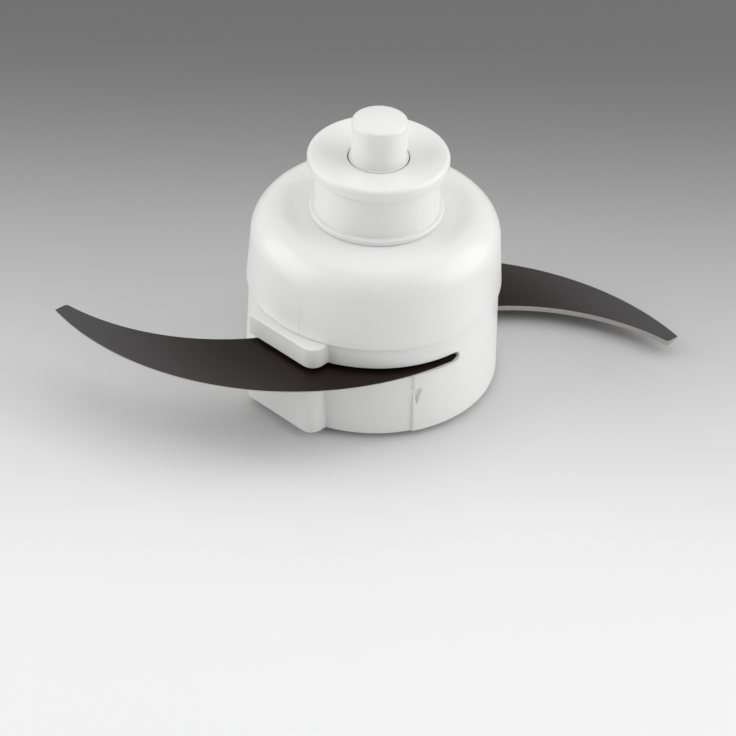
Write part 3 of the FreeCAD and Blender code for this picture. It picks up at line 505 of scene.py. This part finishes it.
class KNIFE_OT_stage(bpy.types.Operator):
    """Sets the camera, the floor and the studio lights"""
    bl_idname = "knife.stage"
    bl_label = "Stage"

    def execute(self, context):
        stage = context.scene.knife_stage
        context.scene.view_settings.view_transform = "Standard"
        self.set_camera(context, stage)
        self.lay_floor(context, stage)
        turn = Matrix.Rotation(stage.azimuth, 3, "Z")
        for name, spot, power, size in (
                ("right_light", (0.86, 0.0, 0.42), stage.right_power, 0.95),
                ("left_light", (-0.88, -0.05, 0.45), stage.left_power, 0.95),
                ("top_light", (0.1, 0.25, 0.95), stage.top_power, 1.1)):
            lamp = bpy.data.lights.new(name, "AREA")
            lamp.shape = "SQUARE"
            lamp.size = size
            lamp.energy = power
            light = bpy.data.objects.new(name, lamp)
            context.scene.collection.objects.link(light)
            light.location = turn @ Vector(spot)
            light.rotation_euler = (-light.location).to_track_quat("-Z", "Y").to_euler()
        world = bpy.data.worlds.new("studio")
        world.use_nodes = True
        background = world.node_tree.nodes["Background"]
        background.inputs["Color"].default_value = (1.0, 1.0, 1.0, 1.0)
        background.inputs["Strength"].default_value = stage.world
        context.scene.world = world
        return {"FINISHED"}

    def set_camera(self, context, stage):
        """Camera on a sphere round its aim, turned about its own axis by the roll."""
        data = bpy.data.cameras.new("camera")
        data.sensor_width = 36.0
        data.lens = stage.lens
        data.clip_start = 0.01
        camera = bpy.data.objects.new("camera", data)
        context.scene.collection.objects.link(camera)
        turn = Matrix.Rotation(stage.azimuth, 3, "Z")
        aim = turn @ Vector((stage.aim_side, 0.0, stage.aim_height))
        level = stage.distance * math.cos(stage.elevation)
        rise = stage.distance * math.sin(stage.elevation)
        back = turn @ Vector((0.0, -level, rise))
        upright = Matrix.Rotation(stage.azimuth, 4, "Z") @ Matrix.Rotation(
            math.pi / 2 - stage.elevation, 4, "X")
        camera.matrix_world = Matrix.Translation(aim + back) @ upright @ Matrix.Rotation(
            stage.roll, 4, "Z")
        context.scene.camera = camera

    def lay_floor(self, context, stage):
        """A floor whose colour darkens softly away from the camera: painted shade for the fall-off of the
        studio light.
        """
        graph = Finish("studio_floor")
        turned = graph.node("ShaderNodeMapping", None, {
            "Vector": graph.place, "Rotation": (0.0, 0.0, -stage.azimuth)})
        away = graph.node("ShaderNodeSeparateXYZ", None, {"Vector": turned}, "Y")
        # Painted shade: this ramp darkens the floor's colour away from the camera.
        depth = graph.node("ShaderNodeMapRange", {"interpolation_type": "SMOOTHERSTEP"},
                           {"Value": away, "From Min": -0.135, "From Max": 0.185})
        base = graph.blend(depth, rgba(stage.floor_near), rgba(stage.floor_far_painted_shade))
        cloud = graph.noise(30.0, 2.0)
        material = graph.done(base, 0.62 + 0.06 * cloud)
        half = 2.5
        mesh = bpy.data.meshes.new("floor")
        low = -stage.floor_gap
        corners = [(-half, -half, low), (half, -half, low), (half, half, low), (-half, half, low)]
        mesh.from_pydata(corners, [], [(0, 1, 2, 3)])
        mesh.materials.append(material)
        new_piece("floor", mesh)


class KNIFE_OT_mouldings(bpy.types.Operator):
    """Makes the white mouldings: base, cap, lift knob and the cover underneath"""
    bl_idname = "knife.mouldings"
    bl_label = "White mouldings"

    def execute(self, context):
        sizes = context.scene.knife_sizes
        soft = sizes.moulded_rounding
        cap_lines = mould_lines(sizes.cap_line_turn, sizes.parting_height, sizes.cap_line_top)
        knob_lines = mould_lines(sizes.knob_line_turn, sizes.knob_line_foot, sizes.knob_line_top)
        for node, name, rounding, flat, lines in (
                ("hub_base", "base_moulding", soft, 0.25, ()),
                ("hub_cap", "cap_moulding", soft, 0.02, cap_lines),
                ("lift_knob", "knob_moulding", soft, 0.0, knob_lines),
                ("base_cover", "base_plate", sizes.fine_rounding, 0.25, ())):
            piece = finished_copy(node, name, rounding, flat=flat)
            dress(piece, [white_moulding(name + "_plastic", lines)], "hub", "white_plastic", node)
        return {"FINISHED"}


class KNIFE_OT_turning_pin(bpy.types.Operator):
    """Makes the turning pin with its low crown, clip groove and ball pocket"""
    bl_idname = "knife.turning_pin"
    bl_label = "Turning pin"

    def execute(self, context):
        sizes = context.scene.knife_sizes
        low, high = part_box("thrust_pin")
        clip_low, clip_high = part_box("pin_clip")
        ball_low, ball_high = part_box("thrust_ball")
        shank = high[0]
        nose = sizes.pin_nose_radius
        rim = high[2] - sizes.pin_crown
        soft = sizes.pin_rim_rounding
        groove = shank - sizes.clip_depth
        foot = sizes.pin_foot_rounding
        pocket = ball_high[0] + 0.00003
        seat = ball_high[2] + 0.00001
        profile = [(0.0, seat), (pocket, seat), (pocket, low[2])]
        profile += quarter((shank - foot, low[2] + foot), foot, foot, -90.0, 0.0, 4)
        profile += [(shank, clip_low[2]), (groove, clip_low[2]), (groove, clip_high[2]),
                    (shank, clip_high[2])]
        neck = rim - sizes.pin_nose_length
        profile += [(shank, neck - 0.00005), (nose, neck)]
        profile += quarter((nose - soft, rim), soft, soft, 0.0, 62.0, 8)
        crown_radius, crown_foot = profile[-1]
        steps = 14
        for step in range(1, steps + 1):
            left = 1.0 - step / steps
            profile.append((crown_radius * left, crown_foot + (high[2] - crown_foot) * (1.0 - left ** 2)))
        piece = lathed_piece("pin_body", profile, closed=False)
        dress(piece, [white_moulding("pin_plastic")], "turning_pin", "white_plastic", "thrust_pin")
        return {"FINISHED"}


class KNIFE_OT_blades(bpy.types.Operator):
    """Makes the two sickle blades with their ground bevels"""
    bl_idname = "knife.blades"
    bl_label = "Blades"

    def execute(self, context):
        sizes = context.scene.knife_sizes
        coat = blade_coating("blade_coat")
        tip = -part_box("upper_blade")[0][0]
        centre_y = sizes.edge_radius - sizes.edge_depth
        centre_x = math.sqrt(sizes.edge_radius ** 2 - (centre_y - sizes.tip_side) ** 2) - tip
        for name, node, turn in (("blade_high", "upper_blade", 0.0),
                                 ("blade_low", "lower_blade", sizes.lower_turn)):
            piece = finished_copy(node, name, sizes.blade_rounding, segments=2, limit=12.0)
            centre = Matrix.Rotation(turn, 3, "Z") @ Vector((centre_x, centre_y, 0.0))
            # The sheet's flats keep their coating; the bevel and the edges are bare steel.
            for face in piece.data.polygons:
                bare = -0.995 < face.normal.z < 0.6
                face.material_index = 1 if bare else 0
            dress(piece, [coat, ground_edge(name + "_ground", centre)], "hub", "coated_blade_steel", node)
        return {"FINISHED"}


def screw_tree(material, seed):
    """Geometry nodes that put a screw on every point, each turned by its own amount."""
    group = bpy.data.node_groups.new("screw_scatter", "GeometryNodeTree")
    group.interface.new_socket("Seats", in_out="INPUT", socket_type="NodeSocketGeometry")
    group.interface.new_socket("Screw", in_out="INPUT", socket_type="NodeSocketObject")
    group.interface.new_socket("Size", in_out="INPUT", socket_type="NodeSocketFloat")
    group.interface.new_socket("Screws", in_out="OUTPUT", socket_type="NodeSocketGeometry")
    tree = Tree(group)
    seats = tree.node("NodeGroupInput", output="Seats")
    shape = tree.node("GeometryNodeObjectInfo", {"transform_space": "ORIGINAL"},
                      {"Object": seats.output("Screw")}, "Geometry")
    turn = tree.node("FunctionNodeRandomValue", {"data_type": "FLOAT"}, {"Seed": seed}, 1)
    full = turn * (2.0 * math.pi)
    spin = tree.node("ShaderNodeCombineXYZ", None, {"Z": full})
    placed = tree.node("GeometryNodeInstanceOnPoints", None, {
        "Points": seats, "Instance": shape, "Rotation": spin, "Scale": seats.output("Size")})
    whole = tree.node("GeometryNodeRealizeInstances", None, {"Geometry": placed})
    dressed = tree.node("GeometryNodeSetMaterial", None, {"Geometry": whole, "Material": material})
    ending = group.nodes.new("NodeGroupOutput")
    group.links.new(dressed.socket, ending.inputs["Screws"])
    return group


def run_tree(name, points, group, inputs):
    """Evaluates a geometry tree on a mesh of loose points and returns a plain piece."""
    mesh = bpy.data.meshes.new(name)
    mesh.from_pydata(points, [], [])
    carrier = new_piece(name, mesh)
    modifier = carrier.modifiers.new("nodes", "NODES")
    modifier.node_group = group
    identifiers = {item.name: item.identifier for item in group.interface.items_tree
                   if item.in_out == "INPUT"}
    for label, value in inputs.items():
        modifier[identifiers[label]] = value
    return settled(carrier)


class KNIFE_OT_fasteners(bpy.types.Operator):
    """Makes every screw, with its cross recess and thread"""
    bl_idname = "knife.fasteners"
    bl_label = "Screws"

    def execute(self, context):
        sizes = context.scene.knife_sizes
        steel = bright_steel("screw_steel")
        for node, name, countersunk, head_up in (
                ("cover_screws", "cover_fixings", True, False),
                ("upper_blade_screws", "blade_fixings", False, True),
                ("cap_screws", "cap_fixings", False, False),
                ("knob_screws", "knob_fixings", False, False)):
            boxes = islands(node)
            low, high = boxes[0]
            total = high.z - low.z
            screw = self.screw(sizes, (high.x - low.x) / 2, total, countersunk, head_up)
            seats = [((low.x + high.x) / 2, (low.y + high.y) / 2, high.z if head_up else low.z)
                     for low, high in boxes]
            piece = run_tree(name, seats, screw_tree(steel, len(boxes)), {"Screw": screw, "Size": 1.0})
            bpy.data.objects.remove(screw)
            smooth(piece.data, 40.0)
            dress(piece, [], "hub", "bright_steel", node)
        return {"FINISHED"}

    def screw(self, sizes, head_radius, total, countersunk, head_up):
        """One screw whose head's outer face is at zero height, and its shank runs upwards."""
        shank = sizes.screw_shank
        head = sizes.cone_height if countersunk else sizes.head_height
        profile = [(0.0, 0.0)]
        if countersunk:
            profile += [(head_radius - 0.0001, 0.0), (head_radius, 0.0001), (shank, head)]
        else:
            profile += quarter((head_radius - 0.0007, 0.0007), 0.0007, 0.0007, -90.0, 0.0, 6)
            profile += [(head_radius, head), (shank, head)]
        rings = int((total - head - 0.0012) / sizes.thread_pitch)
        for ring in range(rings):
            start = head + 0.0004 + ring * sizes.thread_pitch
            profile += [(shank - sizes.thread_depth, start),
                        (shank, start + sizes.thread_pitch * 0.45),
                        (shank - sizes.thread_depth, start + sizes.thread_pitch * 0.9)]
        profile += [(shank - sizes.thread_depth, total - 0.0005), (shank * 0.6, total), (0.0, total)]
        body = lathed_piece("screw_body", profile, 40, False)
        cross = bmesh.new()
        for turn in (0.0, math.pi / 2):
            bar = bmesh.ops.create_cube(cross, size=1.0)["verts"]
            for vertex in bar:
                deep = vertex.co.z > 0.0
                reach = sizes.recess_width * (0.3 if deep else 0.5) * 2.0
                vertex.co.x *= reach
                vertex.co.y *= sizes.recess_width * 0.28
                vertex.co.z = sizes.recess_depth if deep else -0.0002
            bmesh.ops.rotate(cross, verts=bar, matrix=Matrix.Rotation(turn, 3, "Z"))
        cutter_mesh = bpy.data.meshes.new("cross")
        cross.to_mesh(cutter_mesh)
        cross.free()
        cutter = new_piece("cross", cutter_mesh)
        recess = body.modifiers.new("recess", "BOOLEAN")
        recess.operation = "DIFFERENCE"
        recess.solver = "EXACT"
        recess.use_self = True
        recess.object = cutter
        body = settled(body)
        bpy.data.objects.remove(cutter)
        if head_up:
            body.data.transform(Matrix.Rotation(math.pi, 4, "X"))
        return body


class KNIFE_OT_spring(bpy.types.Operator):
    """Winds the pin's spring"""
    bl_idname = "knife.spring"
    bl_label = "Spring"

    def execute(self, context):
        sizes = context.scene.knife_sizes
        low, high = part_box("pin_spring")
        wire = sizes.spring_wire
        group = bpy.data.node_groups.new("spring_winding", "GeometryNodeTree")
        for label in ("Coil Radius", "Wire Radius", "Rise", "Turns"):
            group.interface.new_socket(label, in_out="INPUT", socket_type="NodeSocketFloat")
        group.interface.new_socket("Spring", in_out="OUTPUT", socket_type="NodeSocketGeometry")
        tree = Tree(group)
        radius = tree.node("NodeGroupInput", output="Coil Radius")
        spiral = tree.node("GeometryNodeCurveSpiral", None, {
            "Resolution": 40, "Rotations": radius.output("Turns"), "Start Radius": radius,
            "End Radius": radius, "Height": radius.output("Rise"), "Reverse": False})
        section = tree.node("GeometryNodeCurvePrimitiveCircle", {"mode": "RADIUS"}, {
            "Resolution": 14, "Radius": radius.output("Wire Radius")})
        swept = tree.node("GeometryNodeCurveToMesh", None, {
            "Curve": spiral, "Profile Curve": section, "Fill Caps": True})
        whole = tree.node("GeometryNodeRealizeInstances", None, {"Geometry": swept})
        dressed = tree.node("GeometryNodeSetMaterial", None, {
            "Geometry": whole, "Material": bright_steel("spring_steel", 3000.0)})
        ending = group.nodes.new("NodeGroupOutput")
        group.links.new(dressed.socket, ending.inputs["Spring"])
        piece = run_tree("coil_spring", [(0.0, 0.0, 0.0)], group, {
            "Coil Radius": high[0] - wire, "Wire Radius": wire,
            "Rise": high[2] - low[2] - 2 * wire, "Turns": sizes.spring_turns})
        piece.data.transform(Matrix.Translation((0.0, 0.0, low[2] + wire)))
        smooth(piece.data, 60.0)
        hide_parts("pin_spring")
        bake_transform(piece, "hub", "pin_carriage", start=(0.0, 0.0, low[2] + 3 * wire),
                 end=(0.0, 0.0, high[2] - 3 * wire))
        return {"FINISHED"}


class KNIFE_OT_inner_parts(bpy.types.Operator):
    """Finishes the bushes, clips, rings, ball, spring cup and drive socket"""
    bl_idname = "knife.inner_parts"
    bl_label = "Inner parts"

    def execute(self, context):
        sizes = context.scene.knife_sizes
        finish = context.scene.knife_finish
        rubber = plain_finish("ring_rubber", finish.seal_rubber, 0.6, 3200.0, 0.00003)
        acetal = plain_finish("acetal", finish.bearing, 0.38, 2400.0, 0.00001, IOR=1.48)
        nylon = plain_finish("glass_nylon", finish.socket, 0.46, 4200.0, 0.00002)
        steel = bright_steel("clip_steel")
        for node, name, body, slot, material, rounded in (
                ("pin_bush", "upper_bush", "hub", "bearing_plastic", acetal, True),
                ("spindle_bush", "nose_bush", "hub", "bearing_plastic", acetal, True),
                ("spring_cup", "thrust_cup", "pin_carriage", "bearing_plastic", acetal, True),
                ("drive_socket", "hex_socket", "hub", "socket_plastic", nylon, True),
                ("pin_clip", "upper_clip", "turning_pin", "bright_steel", steel, True),
                ("socket_clip", "lower_clip", "hub", "bright_steel", steel, True)):
            piece = finished_copy(node, name, sizes.fine_rounding)
            dress(piece, [material], body, slot, node)
        for node, material in (("thrust_ball", steel), ("spindle_grip_ring", rubber),
                               ("knob_seal_ring", rubber)):
            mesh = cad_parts[node].data
            mesh.materials.clear()
            mesh.materials.append(material)
        return {"FINISHED"}


OPERATORS = (
    KNIFE_OT_stage,
    KNIFE_OT_mouldings,
    KNIFE_OT_turning_pin,
    KNIFE_OT_blades,
    KNIFE_OT_fasteners,
    KNIFE_OT_spring,
    KNIFE_OT_inner_parts,
)


class KNIFE_PT_panel(bpy.types.Panel):
    """Lists the knife's pieces in the sidebar"""
    bl_idname = "KNIFE_PT_panel"
    bl_label = "Chopping Knife"
    bl_space_type = "VIEW_3D"
    bl_region_type = "UI"
    bl_category = "Knife"

    def draw(self, context):
        for operator in OPERATORS:
            self.layout.operator(operator.bl_idname)
        for group in (context.scene.knife_sizes, context.scene.knife_finish, context.scene.knife_stage):
            box = self.layout.box()
            for name in group.bl_rna.properties.keys():
                if name not in ("rna_type", "name"):
                    box.prop(group, name)


GROUPS = (("knife_sizes", KnifeSizes), ("knife_finish", KnifeFinish), ("knife_stage", StageSettings))


def register():
    """Registers the classes and ties the property groups to the scene."""
    for name, group in GROUPS:
        bpy.utils.register_class(group)
        setattr(bpy.types.Scene, name, bpy.props.PointerProperty(type=group))
    for operator in OPERATORS:
        bpy.utils.register_class(operator)
    bpy.utils.register_class(KNIFE_PT_panel)


def unregister():
    """Takes everything away again."""
    bpy.utils.unregister_class(KNIFE_PT_panel)
    for operator in reversed(OPERATORS):
        bpy.utils.unregister_class(operator)
    for name, group in reversed(GROUPS):
        delattr(bpy.types.Scene, name)
        bpy.utils.unregister_class(group)


def main():
    """Makes the stage and every piece."""
    register()
    for operator in OPERATORS:
        family, name = operator.bl_idname.split(".")
        getattr(getattr(bpy.ops, family), name)()


if __name__ == "__main__":
    main()
